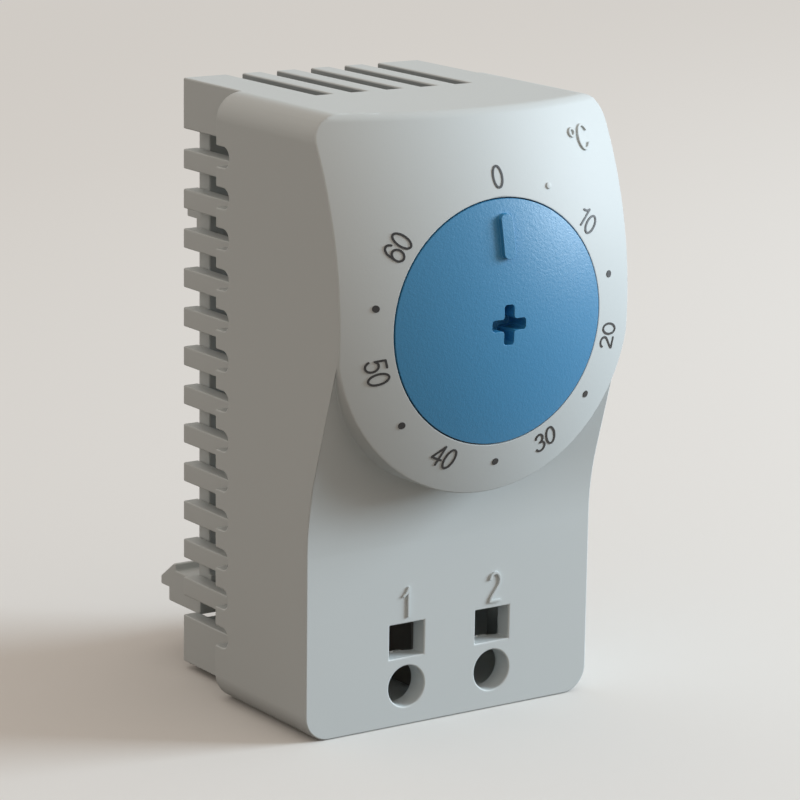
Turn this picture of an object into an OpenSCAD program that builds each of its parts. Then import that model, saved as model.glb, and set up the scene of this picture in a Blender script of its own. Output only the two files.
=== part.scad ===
// DIN rail thermostat for small electrical cabinets.
// Row frame: origin at the centre of the rail seat, +Y into the panel, +Z up, dial towards -Y.
// Every module works in case coordinates: y = 0 at the case's rear plane, z = 0 at its foot.

/* [Case] */
// Width of the front section
case_w = 33; // [31.5:0.5:36]
// Height of the front section
case_h = 60; // [59:0.5:66]
// Step on each side from the front section in to the narrower rear section
rear_step = 2.7; // [2.3:0.1:3]
// Depth of the rear section, back plane to shoulder
rear_l = 10.65; // [9.5:0.05:11.5]
// Step from the foot of the front section up to the rear section
rear_foot = 0.7; // [0.3:0.1:1.2]
// Side wall of the rear section
rear_wall = 1.7; // [1.4:0.1:1.9]
// Side wall of the front section
side_wall = 1.2; // [1:0.1:1.5]
// Top and bottom wall
flat_wall = 1.5; // [1.2:0.1:1.8]
// Front wall
front_wall = 2; // [1.6:0.1:2.2]
// Radius of the four long edges of the front section
edge_r = 2.65; // [1.8:0.05:3]

/* [Front face] */
// Depth of the lower front face, measured from the rear plane
lower_depth = 27.2; // [26.8:0.1:28]
// Depth of the dome's apex, measured from the rear plane
dome_depth = 36; // [35.6:0.1:37]
// Radius of the spherical dome
dome_r = 40; // [39:0.5:46]
// Radius of the scale ring's lower edge
ring_r = 16.75; // [15.5:0.05:17.5]
// Distance from the dial's axis down to where the lower face starts to lean forward
neck_drop = 22.2; // [21.4:0.1:23]
// Radius of the concave neck
neck_r = 24; // [20:1:30]
// Forward lean of the face above the neck, in degrees
neck_lean = 16.5; // [12:0.5:18]
// Radius of the edge between the dome and the top
brow_r = 1.3; // [0.8:0.1:1.6]

/* [Vents] */
// Pitch of the side gaps
gap_pitch = 3.95; // [3.6:0.05:4.4]
// Height of a side gap
gap_h = 2; // [1.6:0.1:2.2]
// Floor of the lowest side gap
gap_floor = 5.6; // [5.4:0.1:6]
// Reach of the side gaps in front of the shoulder
gap_reach = 2.35; // [1.8:0.05:2.6]
// Pitch of the top slots
slot_pitch = 4; // [3.6:0.1:4.2]
// Width of a top slot
slot_w = 1.8; // [1.4:0.1:2]
// Length of a top slot, from the rear plane
slot_l = 16.4; // [12:0.2:17]
// Length of a bottom slot, from the rear plane
foot_slot_l = 9.5; // [6:0.5:10]

/* [Dial] */
// Distance of the dial's axis below the top
dial_drop = 19.6; // [18.6:0.1:20]
// Radius of the dial
dial_r = 11.6; // [10.8:0.1:12]
// Depth of the dial's rear face from the rear plane
dial_back = 31.7; // [31.5:0.1:32]
// Radius of the dial's hub
hub_r = 2.95; // [2.8:0.05:3.2]
// Rear end of the hub, depth from the rear plane
hub_back = 24; // [23.5:0.1:25]
// Length of the cross recess's arms, end to end
cross_l = 3.8; // [3.4:0.1:4.6]
// Width of the cross recess's arms
cross_w = 1.1; // [0.9:0.05:1.4]
// Depth of the cross recess
cross_depth = 2.8; // [2:0.1:3.2]
// Length of the raised pointer
pointer_l = 4.1; // [3:0.1:5]
// Width of the raised pointer
pointer_w = 1.3; // [0.9:0.1:1.8]
// Height of the pointer above the dome
pointer_h = 0.5; // [0.3:0.05:0.7]
// Turn of the dial from the first to the last number, in degrees
dial_turn = 308.6; // [240:0.1:320]

/* [Terminals] */
// Distance between the two terminals
pole_pitch = 10; // [9.6:0.1:10.4]
// Radius of a wire entry
wire_r = 2.05; // [1.6:0.05:2.1]
// Height of the wire entries above the foot
wire_z = 3.9; // [3.8:0.1:4]
// How far a wire entry's rim stands behind the front wall
funnel_l = 0.3; // [0.2:0.1:1]
// Width of a release opening
release_w = 4; // [3.4:0.1:4.2]
// Height of a release opening
release_h = 3.4; // [2.6:0.1:3.6]
// Floor of a release opening
release_z = 6.8; // [6.7:0.1:7]

/* [Rail] */
// Height of the rail's centre line above the foot
rail_mid = 26.4; // [26:0.1:27]
// Height of the standard top-hat rail
rail_h = 35; // [35:0.1:35.2]
// Thickness of the rail's flange
rail_t = 1; // [1:0.05:1.1]
// Distance of the rail seat behind the rear plane
seat_proud = 3.5; // [3.2:0.1:3.8]
// Width over the two seat ribs
seat_w = 17.2; // [16.4:0.2:18]
// Travel of the rail latch
latch_travel = 2.2; // [1.6:0.1:2.3]

/* [Mechanism] */
// Distance below the top of the pivot that carries lever and bimetal
pivot_drop = 8; // [7.6:0.1:8.4]
// Depth of the pivot from the rear plane
pivot_y = 10.6; // [10.5:0.1:10.8]
// Radius of the pivot pin
pivot_r = 0.75; // [0.6:0.05:0.8]
// Thread pitch of the setting spindle
feed_pitch = 1; // [0.8:0.05:1.2]
// Width of the bimetal strip
strip_w = 6; // [5:0.5:7]
// Thickness of the bimetal strip
strip_t = 0.5; // [0.4:0.05:0.6]
// Height of the bimetal strip's lower end
strip_end = 13.2; // [13:0.1:13.6]
// Height of the switch contacts
contact_z = 20.5; // [20:0.1:21]
// Thickness of the sheet-metal bars and brackets
sheet_t = 0.8; // [0.6:0.05:0.9]

/* [Fits] */
// Radial clearance of a running fit
run_fit = 0.05; // [0.03:0.01:0.08]
// Clearance between the dial and its well
dial_fit = 0.1; // [0.05:0.01:0.1]
// Clearance between parts that slide past each other
slide_fit = 0.1; // [0.05:0.01:0.15]

/* [Hidden] */

$fn = 72;
// Facets round the dome in previews
dome_facets = 300;
// Overrun of every cut
over = 0.5;
// Depth to which joined bodies run into each other
lap = 1;
// Clearance of a pressed or riveted fit
tight_fit = 0.02;
// Step that keeps two faces from touching along a tangent
hair = 0.01;
// Left and right, or first and second pole
poles = [-1, 1];

// Case, worked out
dome_mid = dome_r - dome_depth;
rear_w = case_w - 2 * rear_step;
inner_w = rear_w - 2 * rear_wall;
inner_floor = rear_foot + flat_wall;
inner_top = case_h - flat_wall;
shoulder_t = side_wall;
fin_reach = gap_reach + side_wall;
dial_z = case_h - dial_drop;
neck_z = dial_z - neck_drop;
gap_margin = 4.6;
gap_count = floor((case_h - gap_floor - gap_h - gap_margin) / gap_pitch) + 1;
slot_margin = 1;
slot_half_count = floor((inner_w / 2 - slot_w / 2 - slot_margin) / slot_pitch);
funnel_wall = 1;
wire_l = front_wall + funnel_l;
floor_gap = 0.1;

// Dial, its well, bearing, washer and clip
washer_in = 3.1;
washer_out = 6.4;
washer_t = 0.4;
well_r = dial_r + dial_fit;
well_wall = 1.5;
well_floor = dial_back - washer_t - 2 * run_fit;
well_t = 1.5;
hub_bore = hub_r + run_fit;
dial_wall = 1.3;
ring_pocket_in = 7;
ring_pocket_out = dial_r - dial_wall;
ring_pocket_depth = 1.3;
rim_gap = 1.3;
pointer_round_share = 0.4;
cross_round_share = 0.28;
cross_fillet = 0.25;
drive_w = 2.8;
drive_roof = 1;
drive_gap = 0.4;
drive_tail = 0.6;
socket_end = dome_depth - cross_depth - drive_roof;
groove_depth = 0.5;
clip_t = 0.5;
clip_r = 4.4;
clip_mouth = 2.4;
clip_play = 0.1;
clip_back = -well_floor + well_t + clip_play;

// Stop that ends the dial's turn: a lug in the well and a slice left in the dial's pocket
stop_gap = 0.3;
lug_angle = 16;
stop_play = 0.3;
slice_angle = 360 - dial_turn - lug_angle - 2 * stop_play;
slice_turn = 180;
lug_turn = slice_turn - (360 - dial_turn) / 2;

// Lines that the mechanism follows
pivot_z = case_h - pivot_drop;
strip_set = 0.3;
lever_set = 2.4;
strip_front = pivot_y + strip_set;
strip_back = strip_front - strip_t;
lever_front = pivot_y + lever_set;
moving_t = 0.6;
contact_gap = 0.05;
fixed_t = 0.85;
bar_back = strip_front + moving_t + contact_gap + fixed_t;
bar_front = bar_back + sheet_t;
armature_w = 4.8;
armature_t = 0.8;
armature_h = 3.6;
armature_rise = 0.4;
armature_foot = strip_end + armature_rise;
armature_top = armature_foot + armature_h;
magnet_gap = 0.25;
magnet_t = 2.4;
magnet_seat = 0.5;
magnet_inset = 0.2;
magnet_foot = armature_foot + magnet_inset;
magnet_top = armature_top - magnet_inset;

// Mechanism frame
frame_play = 0.5;
frame_w = inner_w - 2 * frame_play;
frame_front = 17.5;
frame_t = 1.5;
frame_back = frame_front - frame_t;
frame_drop = 1.1;
frame_top = inner_top - frame_drop;
cup_wall = 1;
cup_roof = 0.8;
frame_foot = magnet_foot - cup_roof;
boss_r = 4.2;
boss_l = 3;
rest_half = 2.1;
bar_head = contact_z + rest_half;
bar_step = contact_z - rest_half;
window_w = 13;
window_gap = 1.9;
window_share = 0.85;
window_floor = bar_head + window_gap;
window_top = window_floor + window_share * (dial_z - boss_r - window_floor);
ear_in = 6.5;
ear_t = 1.5;
ear_reach = 1.2;
ear_h = 4.4;
partition_t = 1.2;
partition_back = 12.3;
partition_front = 21.5;
clamp_w = 4.2;
peg_r = 0.8;
peg_y = 20.3;
peg_z = 11;
peg_short = 0.3;
peg_l = pole_pitch / 2 + clamp_w / 2 - peg_short;
rest_w = 5.2;

// Screws and their posts
post_r = 2.2;
post_inset = 2.1;
post_x = frame_w / 2 - post_inset;
post_drop = 2.3;
post_high = frame_top - post_drop;
post_low = 17;
screw_r = 1;
screw_l = 6;
screw_head_r = 1.85;
screw_head_h = 1.2;
screw_slot = 0.5;
screw_slot_l = 2.2;
screw_bore_l = 7.5;

// Setting spindle, drawn at the start of its feed
spindle_travel = feed_pitch * dial_turn / 360;
thread_r = 2.5;
thread_spare = 0.2;
thread_front = frame_front + boss_l + spindle_travel + thread_spare;
thread_back = frame_back + thread_spare;
waist_r = 1.35;
drive_front = socket_end - drive_gap;
drive_back = hub_back - drive_tail;
nose_r = 1.5;
nose_gap = 0.05;

// Setting lever and calibration screw
lever_w = 12.4;
eye_r = 2;
lever_h = 20;
lever_top = pivot_z + eye_r;
lever_foot = lever_top - lever_h;
cal_drop = 15.5;
cal_z = pivot_z - cal_drop;
cal_r = 0.9;
cal_head_r = 1.6;
cal_head_h = 0.9;
cal_stand = 1.6;
cal_front = lever_front + cal_stand;

// Foot of the bimetal
knuckle_r = 1.45;
knuckle_w = 10.4;
tang_t = 0.7;
tang_drop = 10.4;
tang_foot = pivot_z - tang_drop;
tang_back = strip_back - tang_t;
strip_gap = 0.15;
strip_top = pivot_z - knuckle_r - strip_gap;
rivet_x = 1.7;
rivet_rise = 1.5;
rivet_z = tang_foot + rivet_rise;
rivet_r = 0.6;
rivet_head_r = 1;
rivet_head_h = 0.4;

// Contacts
moving_r = 1.3;
fixed_r = 1.5;
tail_r = 0.65;

// Terminal bars
bar_w = 4;
mouth_set = 6.3;
bar_mouth = lower_depth - mouth_set;
bar_foot = flat_wall + floor_gap;
bar_riser_in = 4;
riser_x = ear_in + ear_t + run_fit;
riser_back = 9;
riser_foot = 7.6;
riser_rise = 2.2;
riser_top = pivot_z + riser_rise;

// Pivot pin
pin_stub = 0.3;
pin_collar = 0.45;
pin_head_r = pivot_r + pin_collar;

// Clamp springs
clamp_t = 0.4;
clamp_lean = 18;
clamp_tip_gap = 0.25;

// Rail edges and the pocket that takes the rail
rail_fit = 0.15;
rail_foot = rail_mid - rail_h / 2;
rail_head = rail_mid + rail_h / 2;
pocket_floor = rail_foot - rail_fit;
pocket_back = seat_proud + rail_t + rail_fit;

// Coil springs
wire_t = 0.5;
latch_coil_r = 1.2;
latch_coils = 8;
return_coil_r = 1.75;
return_drop = 5.2;
return_coil_z = pivot_z - return_drop;
return_coils = 6;
rings_per_coil = 8;
sides = 6;

// Rail latch
latch_w = inner_w - 2 * slide_fit;
latch_set = 0.3;
latch_foot = 5.3;
latch_lip = 0.65;
latch_lip_t = 0.45;
latch_reach = 2.95;
latch_back = pocket_back + latch_reach;
latch_chin = 1.6;
latch_chin_h = 1.4;
latch_brow = 2.3;
ledge_t = 0.4;
crossbar_h = 3;
shank_front = 0.05;
shank_back = seat_proud - ledge_t - slide_fit;
shank_gap = 1.1;
shank_top = rail_mid - crossbar_h / 2 - shank_gap;
pad_h = 1;
pad_t = 0.3;
tail_w = 8;
tail_foot = 2.6;
tail_slot_w = 4.8;
tail_slot_foot = 3.3;
tail_slot_h = 1.2;
window_half = 1.9;
window_roof = 1.6;
latch_spring_l = 9.2;
spring_head = shank_top - window_roof;
spring_foot = spring_head - latch_spring_l;
coil_play = 0.15;
latch_coil_y = latch_coil_r + wire_t / 2 + coil_play;
lug_gap = 0.1;
lug_h = 1.5;
lug_w = 3.2;
lug_set = 0.4;
lug_back = shank_back - lug_set;
spigot_r = 0.65;
spigot_h = 1;

// Back plate, seat ribs and rail hooks
plate_t = 2;
plate_fit = 0.1;
plate_set = latch_set + slide_fit;
beam_play = 0.25;
plate_split = pocket_floor + beam_play;
sill_z = latch_foot - beam_play;
web_w = 13;
nib_w = 1.6;
nib_h = 0.5;
nib_y = 0.8;
nib_t = 0.7;
nib_x = 6;
rib_t = 2.5;
rib_foot = 10;
rib_in = seat_w / 2 - rib_t;
shank_play = 0.2;
shank_w = 2 * (rib_in - shank_play);
hook_w = 4;
hook_drop = 1.1;
hook_lip = 1.2;
hook_out = 0.25;
hook_slope = 0.8;
hook_relief = 0.1;
hook_reach = 3;
hook_rise = 1.9;
hook_back = 3.3;
ledge_w = 0.9;
ledge_foot = 12;
ledge_top = shank_top - pad_h - latch_travel - run_fit;
seat_boss_r = 1.2;
seat_boss_h = 1.4;

// Depth of the dome's surface at a place x, z of the front
function dome_y(x, z) = dome_mid - sqrt(pow(dome_r, 2) - pow(x, 2) - pow(z - dial_z, 2));

// Moves case coordinates into the row frame
module in_case() translate([0, -seat_proud, -rail_mid]) children();

// Axis-parallel block between two corners
module block(x0, x1, y0, y1, z0, z1) translate([x0, y0, z0]) cube([x1 - x0, y1 - y0, z1 - z0]);

// Round bar along Y
module rod_y(x, z, r, y0, y1) translate([x, y1, z]) rotate([90, 0, 0]) cylinder(r = r, h = y1 - y0);

// Round bar along X
module rod_x(y, z, r, x0, x1) translate([x0, y, z]) rotate([0, 90, 0]) cylinder(r = r, h = x1 - x0);

// Outline drawn in x and z, drawn out along Y
module along_y(y0, y1) translate([0, y1, 0]) rotate([90, 0, 0]) linear_extrude(y1 - y0) children();

// Outline drawn in y and z, drawn out along X
module along_x(x0, x1) translate([x0, 0, 0]) rotate([90, 0, 90]) linear_extrude(x1 - x0) children();

// Rectangle with round corners, centred in x and standing on its base line
module soft_rect(w, h, r) {
  translate([-w / 2 + r, 0]) square([w - 2 * r, h]);
  translate([-w / 2, r]) square([w, h - 2 * r]);
  for (x = [-w / 2 + r, w / 2 - r], z = [r, h - r]) translate([x, z]) circle(r);
}

// Lower face, concave neck and lean up to where the ring crosses the sides; inset moves the face inwards
module neck_form(inset) {
  face = -lower_depth + inset;
  half = neck_r * tan(neck_lean / 2);
  lean_z = neck_z + half;
  crest_z = dial_z - sqrt(max(pow(hair, 2), pow(ring_r, 2) - pow(case_w / 2, 2)));
  crest_y = face - (crest_z - lean_z) * tan(neck_lean);
  tangent = [face - half * sin(neck_lean), lean_z + half * cos(neck_lean)];
  along_x(-case_w, case_w)
    polygon([[0, 0], [face, 0], [face, lean_z], [crest_y, crest_z], [crest_y, dial_z], [0, dial_z]]);
  difference() {
    along_x(-case_w, case_w) polygon([[face, neck_z], tangent, [face, lean_z]]);
    rod_x(face - neck_r, neck_z, neck_r, -case_w - over, case_w + over);
  }
}

// Whole front section; the insets make its cavity
module front_form(side, flat, front, back) {
  intersection() {
    along_y(-dome_depth - over, back)
      translate([0, flat]) soft_rect(case_w - 2 * side, case_h - 2 * flat, edge_r - side);
    union() {
      intersection() {
        translate([0, dome_mid, dial_z]) sphere(dome_r - front, $fn = dome_facets);
        union() {
          rod_y(0, dial_z, ring_r - front, -dome_depth - over, over);
          block(-case_w, case_w, -dome_depth - over, over, dial_z, case_h);
        }
      }
      neck_form(front);
    }
  }
}

// What the round edge between dome and top takes away
module brow_cut() {
  reach = dome_r - hair;
  height = case_h - brow_r - dial_z;
  centre = sqrt(pow(reach - brow_r, 2) - pow(height, 2));
  meet = height * reach / (reach - brow_r);
  translate([0, dome_mid, 0]) rotate_extrude($fn = dome_facets) difference() {
    translate([centre, dial_z + meet]) square([brow_r + over, case_h - dial_z - meet + over]);
    translate([centre, case_h - brow_r]) circle(brow_r);
  }
}

// Slice of a ring about the dial's axis, at a turn clockwise from the top
module ring_slice(turn, angle, r0, r1, y0, y1) {
  reach = r1 + over;
  intersection() {
    difference() {
      rod_y(0, dial_z, r1, y0, y1);
      rod_y(0, dial_z, r0, y0 - over, y1 + over);
    }
    translate([0, 0, dial_z]) rotate([0, turn, 0]) along_y(y0 - over, y1 + over)
      polygon([[0, 0], [-reach * tan(angle / 2), reach], [reach * tan(angle / 2), reach]]);
  }
}

// One side gap: open at the rear, with a round front end
module side_gap(z) {
  reach = rear_l + gap_reach - gap_h / 2;
  for (side = poles) {
    x0 = side > 0 ? inner_w / 2 - over : -case_w / 2 - over;
    x1 = side > 0 ? case_w / 2 + over : -inner_w / 2 + over;
    block(x0, x1, -reach, over, z, z + gap_h);
    rod_x(-reach, z + gap_h / 2, gap_h / 2, x0, x1);
  }
}

module housing() color([0.78, 0.8, 0.8]) in_case() difference() {
  union() {
    difference() {
      union() {
        front_form(0, 0, 0, -rear_l);
        block(-rear_w / 2, rear_w / 2, -rear_l - over, 0, rear_foot, case_h);
      }
      front_form(side_wall, flat_wall, front_wall, -rear_l - shoulder_t);
      block(-inner_w / 2, inner_w / 2, -rear_l - shoulder_t - over, over, inner_floor, inner_top);
    }
    // Comb walls carried on into the front section
    for (side = poles) {
      x0 = side > 0 ? inner_w / 2 : -rear_w / 2;
      block(x0, x0 + rear_wall, -rear_l - fin_reach, -rear_l, flat_wall / 2, case_h - flat_wall / 2);
    }
    // Wall and floor of the dial's well
    rod_y(0, dial_z, well_r + well_wall,
      dome_y(well_r + well_wall, dial_z) + front_wall / 2, -well_floor + well_t);
    // Posts for the frame screws
    for (x = [-post_x, post_x]) {
      intersection() {
        rod_y(x, post_high, post_r, -dome_depth, -frame_front);
        translate([0, dome_mid, dial_z]) sphere(dome_r - front_wall / 2, $fn = dome_facets);
      }
      rod_y(x, post_low, post_r, -lower_depth + front_wall / 2, -frame_front);
    }
    // Wire funnels behind the front wall
    for (side = poles)
      rod_y(side * pole_pitch / 2, wire_z, wire_r + funnel_wall, -lower_depth + front_wall / 2,
        -lower_depth + wire_l);
  }
  brow_cut();
  difference() {
    rod_y(0, dial_z, well_r, -dome_depth - over, -well_floor);
    // Lug that ends the dial's turn
    ring_slice(lug_turn, lug_angle, ring_pocket_in + stop_gap, ring_pocket_out - stop_gap,
      -dial_back - ring_pocket_depth + stop_gap, 0);
  }
  rod_y(0, dial_z, hub_bore, -well_floor - over, -well_floor + well_t + over);
  for (x = [-post_x, post_x], z = [post_high, post_low])
    rod_y(x, z, screw_r + tight_fit, -frame_front - screw_bore_l, -frame_front + over);
  for (side = poles) {
    x = side * pole_pitch / 2;
    rod_y(x, wire_z, wire_r, -lower_depth - over, -lower_depth + wire_l + over);
    block(x - release_w / 2, x + release_w / 2, -lower_depth - over, -lower_depth + front_wall + tight_fit,
      release_z, release_z + release_h);
  }
  for (i = [0:gap_count - 1]) side_gap(gap_floor + i * gap_pitch);
  for (i = [-slot_half_count:slot_half_count]) {
    x = i * slot_pitch;
    block(x - slot_w / 2, x + slot_w / 2, -slot_l, over, inner_top - over, case_h + over);
    block(x - slot_w / 2, x + slot_w / 2, -foot_slot_l, over, rear_foot - over, inner_floor + over);
  }
  // Pockets for the back plate's nibs
  for (x = [-nib_x, nib_x])
    block(x - nib_w / 2 - plate_fit, x + nib_w / 2 + plate_fit, -nib_y - nib_t - plate_fit, -nib_y + plate_fit,
      inner_floor - nib_h - plate_fit, inner_top + nib_h + plate_fit);
}

// Hook profile of the upper rail hooks, in y and z; the slot's front wall is relieved behind the seat
module hook_profile() {
  lip_foot = rail_head - hook_drop;
  ceiling = rail_head + rail_fit;
  tip = pocket_back + hook_reach;
  slot_y = seat_proud - hook_relief;
  polygon([
    [0, lip_foot], [slot_y, lip_foot], [slot_y, ceiling], [pocket_back, ceiling],
    [pocket_back, lip_foot], [pocket_back + hook_lip, lip_foot],
    [pocket_back + hook_lip, lip_foot + hook_rise], [tip, lip_foot + hook_rise],
    [tip, ceiling + hook_back - hook_slope], [tip - hook_slope, ceiling + hook_back], [0, ceiling + hook_back]
  ]);
}

module back_plate() color([0.7, 0.72, 0.72]) in_case() {
  half = inner_w / 2 - plate_fit;
  difference() {
    union() {
      block(-half, half, -plate_t, 0, plate_split, inner_top - plate_fit);
      block(-half, half, -plate_t - plate_set, -plate_set, inner_floor + plate_fit, plate_split + lap);
    }
    for (side = poles) {
      x0 = side > 0 ? web_w / 2 : -half - over;
      block(x0, x0 + half - web_w / 2 + over, -plate_t - plate_set - over, over, sill_z, plate_split);
    }
  }
  for (x = [-nib_x, nib_x]) {
    block(x - nib_w / 2, x + nib_w / 2, -nib_y - nib_t, -nib_y, inner_top - lap, inner_top + nib_h - plate_fit);
    block(x - nib_w / 2, x + nib_w / 2, -nib_y - nib_t, -nib_y, inner_floor - nib_h + plate_fit,
      inner_floor + lap);
  }
  for (side = poles) {
    x0 = side > 0 ? rib_in : -seat_w / 2;
    block(x0, x0 + rib_t, -lap, seat_proud, rib_foot, rail_head - hook_drop);
    ledge = side > 0 ? rib_in - ledge_w : -rib_in;
    block(ledge, ledge + ledge_w, seat_proud - ledge_t, seat_proud, ledge_foot, ledge_top);
    hook_x = side > 0 ? seat_w / 2 + hook_out - hook_w : -seat_w / 2 - hook_out;
    along_x(hook_x, hook_x + hook_w) hook_profile();
  }
  block(-seat_w / 2, seat_w / 2, -lap, seat_proud, rail_mid - crossbar_h / 2, rail_mid + crossbar_h / 2);
  // Lug and spigot under the latch spring
  block(-lug_w / 2, lug_w / 2, -lap, lug_back, spring_foot - lug_h, spring_foot);
  translate([0, latch_coil_y, spring_foot - lap]) cylinder(r = spigot_r, h = spigot_h + lap);
  // Boss inside the return spring
  rod_y(0, return_coil_z, seat_boss_r, -plate_t - seat_boss_h, -plate_t + lap);
}

module mechanism_frame() color([0.46, 0.45, 0.43]) in_case() {
  ear_back = pivot_y - ear_reach;
  cup_half = armature_w / 2 + cup_wall;
  difference() {
    union() {
      block(-frame_w / 2, frame_w / 2, -frame_front, -frame_back, frame_foot, frame_top);
      rod_y(0, dial_z, boss_r, -frame_front - boss_l, -frame_back);
      for (side = poles) {
        x0 = side > 0 ? ear_in : -ear_in - ear_t;
        block(x0, x0 + ear_t, -frame_back - over, -ear_back, pivot_z - ear_h / 2, pivot_z + ear_h / 2);
      }
      block(-cup_half, cup_half, -frame_back - over, -bar_back, frame_foot, magnet_top + cup_roof);
    }
    block(-window_w / 2, window_w / 2, -frame_front - over, -frame_back + over, window_floor, window_top);
    rod_y(0, dial_z, thread_r + run_fit, -frame_front - boss_l - over, -frame_back + over);
    rod_x(-pivot_y, pivot_z, pivot_r + tight_fit, -ear_in - ear_t - over, ear_in + ear_t + over);
    for (x = [-post_x, post_x], z = [post_high, post_low])
      rod_y(x, z, screw_r + slide_fit, -frame_front - over, -frame_back + over);
    block(-armature_w / 2 - tight_fit, armature_w / 2 + tight_fit, -bar_back - magnet_t + magnet_seat, over,
      magnet_foot - tight_fit, magnet_top + tight_fit);
  }
  // Rest for the fixed contact's bar
  block(-rest_w / 2, rest_w / 2, -frame_back - over, -bar_front - tight_fit, bar_step, bar_head);
  // Partition between the poles, with a peg for each clamp spring
  block(-partition_t / 2, partition_t / 2, -partition_front, -partition_back, flat_wall + floor_gap,
    frame_foot + over);
  rod_x(-peg_y, peg_z, peg_r, -peg_l, peg_l);
}

module frame_screws() color([0.75, 0.76, 0.78]) in_case() {
  for (x = [-post_x, post_x], z = [post_high, post_low]) difference() {
    union() {
      rod_y(x, z, screw_r, -frame_front - screw_l, -frame_back + tight_fit);
      rod_y(x, z, screw_head_r, -frame_back + tight_fit, -frame_back + tight_fit + screw_head_h);
    }
    for (turn = [0, 90]) translate([x, -frame_back + screw_head_h + tight_fit, z]) rotate([0, turn, 0])
      cube([screw_slot_l, screw_head_h, screw_slot], center = true);
  }
}

module rail_latch() color([0.74, 0.76, 0.76]) in_case() difference() {
  union() {
    along_x(-latch_w / 2, latch_w / 2) polygon([
      [-latch_set, latch_foot], [latch_back - latch_chin, latch_foot],
      [latch_back - latch_chin, latch_foot + latch_chin_h], [latch_back, latch_foot + latch_chin_h],
      [latch_back, latch_foot + latch_brow], [pocket_back + latch_lip_t, pocket_floor + latch_lip],
      [pocket_back, pocket_floor + latch_lip], [pocket_back, pocket_floor], [-latch_set, pocket_floor]
    ]);
    block(-shank_w / 2, shank_w / 2, shank_front, shank_back, latch_foot, shank_top);
    block(-tail_w / 2, tail_w / 2, shank_front, shank_back, tail_foot, latch_foot + over);
    // Pad that meets the ledges at the end of the travel
    block(-shank_w / 2, shank_w / 2, shank_back - over, shank_back + pad_t, shank_top - pad_h, shank_top);
  }
  difference() {
    block(-window_half, window_half, shank_front - over, shank_back + over, spring_foot - lug_h - lug_gap,
      spring_head);
    translate([0, latch_coil_y, spring_head - spigot_h]) cylinder(r = spigot_r, h = spigot_h + over);
  }
  block(-tail_slot_w / 2, tail_slot_w / 2, shank_front - over, shank_back + over, tail_slot_foot,
    tail_slot_foot + tail_slot_h);
}

// Points of a ring on a coil of radius r and length l, at ring k of n
function coil_ring(r, l, k, n) = let (
  turn = 360 * k / rings_per_coil,
  rise = wire_t / 2 + (l - wire_t) * k / n,
  run = atan2((l - wire_t) / n * rings_per_coil, 2 * PI * r)
) [for (s = [0:sides - 1]) let (
  a = 360 * s / sides,
  u = wire_t / 2 * cos(a),
  v = wire_t / 2 * sin(a)
) [(r + u) * cos(turn) + v * sin(run) * sin(turn), (r + u) * sin(turn) - v * sin(run) * cos(turn),
   rise + v * cos(run)]];

// Compression spring along +Z with its two ends cut square
module coil(r, l, coils) {
  n = coils * rings_per_coil;
  rings = [for (k = [0:n]) coil_ring(r, l, k, n)];
  points = [for (ring = rings) each ring];
  walls = [for (k = [0:n - 1], s = [0:sides - 1]) let (
    a = k * sides + s,
    b = k * sides + (s + 1) % sides
  ) each [[a, a + sides, b], [b, a + sides, b + sides]]];
  first = [for (s = [1:sides - 2]) [0, s, s + 1]];
  last = [for (s = [1:sides - 2]) [n * sides, n * sides + s + 1, n * sides + s]];
  polyhedron(points = points, faces = concat(walls, first, last), convexity = coils);
  clear = min([for (k = [0:n - rings_per_coil], s = [0:sides - 1], t = [0:sides - 1])
    norm(rings[k][s] - rings[k + rings_per_coil][t])]);
  echo(least_gap_between_turns = clear);
}

module latch_spring() color([0.72, 0.73, 0.75]) in_case()
  translate([0, latch_coil_y, spring_foot]) coil(latch_coil_r, spring_head - spring_foot, latch_coils);

module return_spring() color([0.72, 0.73, 0.75]) in_case()
  translate([0, -plate_t, return_coil_z]) rotate([90, 0, 0])
    coil(return_coil_r, tang_back - plate_t, return_coils);

// Cross with round ends and filleted inner corners
module cross_form() {
  for (turn = [0, 90]) rotate(turn)
    translate([0, -cross_w / 2]) soft_rect(cross_l, cross_w, cross_w * cross_round_share);
  for (turn = [0:90:270]) rotate(turn) translate([cross_w / 2, cross_w / 2]) difference() {
    translate([-lap, -lap]) square(cross_fillet + lap);
    translate([cross_fillet, cross_fillet]) circle(cross_fillet - hair);
  }
}

module dial() color([0.25, 0.53, 0.72]) in_case() {
  cross_floor = dome_depth - cross_depth;
  difference() {
    union() {
      intersection() {
        translate([0, dome_mid, dial_z]) sphere(dome_r, $fn = dome_facets);
        rod_y(0, dial_z, dial_r, -dome_depth - over, -dial_back);
      }
      intersection() {
        translate([0, dome_mid, dial_z]) sphere(dome_r + pointer_h, $fn = dome_facets);
        along_y(-dome_depth - over, -dial_back)
          translate([0, dial_z + dial_r - rim_gap - pointer_l])
            soft_rect(pointer_w, pointer_l, pointer_w * pointer_round_share);
      }
      rod_y(0, dial_z, hub_r, -dial_back - over, -hub_back);
    }
    difference() {
      rod_y(0, dial_z, ring_pocket_out, -dial_back - ring_pocket_depth, -dial_back + over);
      rod_y(0, dial_z, ring_pocket_in, -dome_depth, over);
      ring_slice(slice_turn, slice_angle, ring_pocket_in - over, ring_pocket_out + over, -dome_depth, over);
    }
    along_y(-dome_depth - pointer_h - over, -cross_floor) translate([0, dial_z]) cross_form();
    translate([0, 0, dial_z])
      block(-drive_w / 2 - slide_fit / 2, drive_w / 2 + slide_fit / 2, -socket_end, over,
        -drive_w / 2 - slide_fit / 2, drive_w / 2 + slide_fit / 2);
    difference() {
      rod_y(0, dial_z, hub_r + over, clip_back - tight_fit, clip_back + clip_t + tight_fit);
      rod_y(0, dial_z, hub_r - groove_depth, -dome_depth, over);
    }
  }
}

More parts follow.
